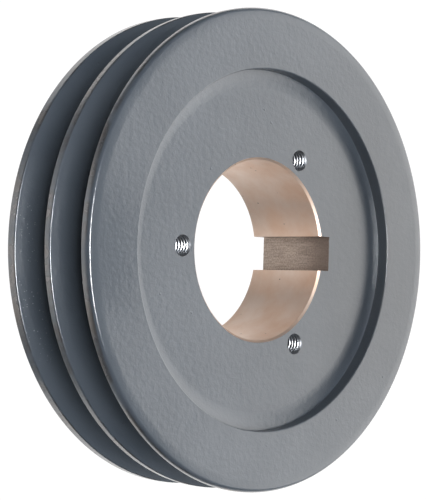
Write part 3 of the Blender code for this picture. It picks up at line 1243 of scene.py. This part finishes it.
@dataclass
class CapScrew:
    """A hexagon cap screw and the split lock washer under its head, at one of the three places."""

    number: int
    angle: float
    head_height: float = 0.0052
    across_flats: float = 0.0127
    washer_face: float = 0.0003
    point: float = 0.0007
    head_chamfer: float = 0.0007
    over: float = 0.0002
    major_r: float = 0.0037
    minor_r: float = 0.0031
    washer_thickness: float = 0.0017
    washer_lift: float = 0.0003
    washer_gap: float = math.radians(16)

    def __post_init__(self) -> None:
        """Read the screw's and the washer's places from the frame."""
        low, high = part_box(f"cap_screw_{self.number}")
        self.top, self.tip = low.y, high.y
        self.seat = self.top + self.head_height
        self.place = on_circle(SCREW_CIRCLE_R, self.angle)

    def thread(self) -> Thread:
        """The screw's thread, in step with the tapped hole's once the bushing is home."""
        return Thread(self.major_r, self.minor_r, phase=-PARKED)

    def screw(self) -> None:
        """Thread the shank and put the head on it."""
        piece = Piece(
            f"cap_screw_body_{self.number}", f"screw_{self.number}", Slot.PLATED,
            (f"cap_screw_{self.number}",), (ZINC_PLATE,),
        )
        piece.start(Blank.threaded(self.thread(), self.seat - self.head_height / 2, self.tip))
        point = [
            Corner(0, self.seat - self.head_height),
            Corner(self.major_r + self.over, self.seat - self.head_height),
            Corner(self.major_r + self.over, self.tip - self.point),
            Corner(self.major_r - self.point, self.tip),
            Corner(0, self.tip),
        ]
        piece.work(Work.TRIM, [Blank.turned(point, 40).tool(ZINC_PLATE)])
        corner_r = self.across_flats / math.sqrt(3)
        dome = [
            Corner(0, self.top),
            Corner(self.across_flats / 2 - 0.0003, self.top),
            Corner(corner_r + self.over, self.top + self.head_chamfer),
            Corner(corner_r + self.over, self.seat + 0.001),
            Corner(0, self.seat + 0.001),
        ]
        head = Piece("head", "", Slot.PLATED, (), (ZINC_PLATE,))
        head.start(Blank.hexagon(self.across_flats, self.top, self.seat - self.washer_face))
        head.work(Work.TRIM, [Blank.turned(dome, 48).tool(ZINC_PLATE)])
        face_r = self.across_flats / 2 - 0.0004
        collar = [
            Corner(0, self.seat - self.head_height / 2),
            Corner(face_r, self.seat - self.head_height / 2),
            Corner(face_r, self.seat),
            Corner(0, self.seat),
        ]
        piece.work(Work.JOIN, [head.obj, Blank.turned(collar, 48).tool(ZINC_PLATE)])
        piece.obj.data.transform(Matrix.Translation(self.place))
        piece.finish()

    def washer(self) -> None:
        """Coil the spring washer from its square section."""
        low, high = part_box(f"lock_washer_{self.number}")
        inner = self.major_r + 0.0003
        outer = (high.x - low.x) / 2
        piece = Piece(
            f"lock_washer_ring_{self.number}", f"screw_stack_{self.number}", Slot.PLATED,
            (f"lock_washer_{self.number}",), (ZINC_PLATE,),
        )
        blank = Blank()
        mesh = blank.mesh
        back = low.y + self.washer_thickness
        corners = [(inner, low.y), (outer, low.y), (outer, back), (inner, back)]
        section = mesh.faces.new([mesh.verts.new((radius, along, 0)) for radius, along in corners])
        bmesh.ops.bevel(
            mesh, geom=list(section.verts), offset=0.0002, offset_type="ABSOLUTE",
            affect="VERTICES", segments=2, profile=0.5, material=-1,
        )
        steps = 56
        bmesh.ops.spin(
            mesh, geom=mesh.faces[:] + mesh.edges[:] + mesh.verts[:], cent=(0, 0, 0), axis=(0, 1, 0),
            dvec=(0, self.washer_lift / steps, 0), angle=math.tau - self.washer_gap, steps=steps,
        )
        turn = Matrix.Rotation(-self.washer_gap / 2, 4, "Y")
        blank.closed().moved(Matrix.Translation(self.place) @ turn)
        piece.start(blank)
        piece.finish()

    def build(self) -> None:
        """Make the screw and its washer."""
        self.screw()
        self.washer()


@dataclass(frozen=True)
class Panel:
    """A soft-edged bright panel of the surroundings, in degrees from -X towards -Y, level with the shaft."""

    azimuth: float
    half_width: float
    half_height: float
    colour: Colour
    soft: float = 5.0


@dataclass
class Studio:
    """Dim bluish surroundings with soft panels, a strip light, a pale floor and the camera."""

    front_y: float
    floor_z: float
    casting: bpy.types.Object
    strip_azimuth: float = math.radians(70)
    strip_reach: float = 1.2
    strip_size: tuple[float, float] = (0.30, 0.58)
    strip_drop: float = 0.07
    strip_power: float = 37.0
    distance: float = 0.6382
    yaw: float = math.radians(45)
    side: float = 0.02135
    clocking: float = math.radians(2.34)
    lens: float = 125.69
    white: float = 1.05
    dim: Colour = (0.02, 0.022, 0.025)
    panels: tuple[Panel, ...] = (
        Panel(-52, 33, 23, (1.4, 1.37, 1.34), soft=11.0),
        Panel(-130, 52, 50, (1.5, 1.48, 1.46)),
        Panel(68, 18, 22, (1.95, 2.2, 2.55)),
        Panel(151, 20, 22, (3.3, 3.2, 3.1), soft=7.0),
    )

    def surroundings(self) -> None:
        """Light the scene from dim surroundings and their panels. Seen directly, they are plain white."""
        world = bpy.data.worlds.new("studio")
        bpy.context.scene.world = world
        world.use_nodes = True
        graph = Graph(world.node_tree)
        x, y, z = graph.split(graph.add("TexCoord").outputs["Generated"])
        degrees = 180 / math.pi
        azimuth = graph.maths("ARCTAN2", y * -1.0, x * -1.0) * degrees
        height = (graph.maths("ARCSINE", z) * degrees).size()
        total = self.dim
        for panel in self.panels:
            aside = graph.maths("WRAP", azimuth - panel.azimuth, -180.0, 180.0).size()
            mask = aside.ramp(panel.half_width + panel.soft, panel.half_width - panel.soft)
            mask = mask * height.ramp(panel.half_height + panel.soft, panel.half_height - panel.soft)
            total = graph.blend(total, panel.colour, mask)
        lit = graph.add("Background", None, {"Color": total})
        plain = graph.add("Background", None, {"Color": (1, 1, 1, 1), "Strength": self.white})
        seen = graph.add("LightPath").outputs["Is Camera Ray"]
        mixed = graph.add("MixShader", None, {0: seen, 1: lit.outputs[0], 2: plain.outputs[0]})
        graph.add("OutputWorld", None, {"Surface": mixed.outputs[0]})

    def strip_light(self) -> None:
        """A tall narrow soft box that only adds gloss, a glint on the edges. The sheave alone shades it."""
        data = bpy.data.lights.new("strip_light", "AREA")
        data.shape = "RECTANGLE"
        data.size, data.size_y = self.strip_size
        data.energy = self.strip_power
        lamp = bpy.data.objects.new("strip_light", data)
        away = Vector((-math.cos(self.strip_azimuth), -math.sin(self.strip_azimuth), 0))
        lamp.location = Vector((0, self.front_y, -self.strip_drop)) + away * self.strip_reach
        lamp.rotation_euler = (-away).to_track_quat("-Z", "Y").to_euler()
        lamp.visible_diffuse = False
        shades = bpy.data.collections.new("shades_the_strip_light")
        shades.objects.link(self.casting)
        lamp.light_linking.blocker_collection = shades
        bpy.context.scene.collection.objects.link(lamp)

    def floor(self) -> None:
        """A plain pale floor that the pulley stands on."""
        shape = bmesh.new()
        bmesh.ops.create_grid(shape, x_segments=4, y_segments=4, size=0.45)
        bmesh.ops.translate(shape, vec=(0, 0, self.floor_z), verts=shape.verts)
        mesh = bpy.data.meshes.new("pale_floor")
        shape.to_mesh(mesh)
        shape.free()
        finish = bpy.data.materials.new("pale_floor")
        finish.use_nodes = True
        graph = Graph(finish.node_tree)
        glow = graph.add("Emission", None, {"Color": (1, 1, 1, 1), "Strength": self.white})
        graph.add("OutputMaterial", None, {"Surface": glow.outputs[0]})
        mesh.materials.append(finish)
        floor = bpy.data.objects.new("pale_floor", mesh)
        bpy.context.scene.collection.objects.link(floor)
        floor.visible_diffuse = floor.visible_glossy = floor.visible_shadow = False

    def camera(self) -> None:
        """Stand the camera in front of the face, to its left, turned a little about the shaft line."""
        data = bpy.data.cameras.new("camera")
        data.lens = self.lens
        data.sensor_width = 36
        data.clip_start, data.clip_end = 0.01, 50
        camera = bpy.data.objects.new("camera", data)
        forward = Vector((math.sin(self.yaw), math.cos(self.yaw), 0))
        right = Vector((math.cos(self.yaw), -math.sin(self.yaw), 0))
        place = Vector((0, self.front_y, 0)) - forward * self.distance - right * self.side
        level = Matrix.Translation(place) @ forward.to_track_quat("-Z", "Y").to_matrix().to_4x4()
        camera.matrix_world = Matrix.Rotation(-self.clocking, 4, "Y") @ level
        bpy.context.scene.collection.objects.link(camera)
        bpy.context.scene.camera = camera

    def build(self) -> None:
        """Set up the surroundings, the strip light, the floor and the camera."""
        self.surroundings()
        self.strip_light()
        self.floor()
        self.camera()
        bpy.context.scene.view_settings.view_transform = "Standard"


def main() -> None:
    """Load the frame, build every sub-assembly round it and set up the studio."""
    logging.basicConfig(level=logging.INFO, format="%(message)s")
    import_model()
    casting = SheaveCasting()
    casting.build()
    SplitBushing().build()
    SetScrew().build()
    for number, angle in enumerate(casting.screw_angles, 1):
        CapScrew(number, angle).build()
    Studio(casting.front, -casting.outside_r, casting.piece.obj).build()


if __name__ == "__main__":
    main()
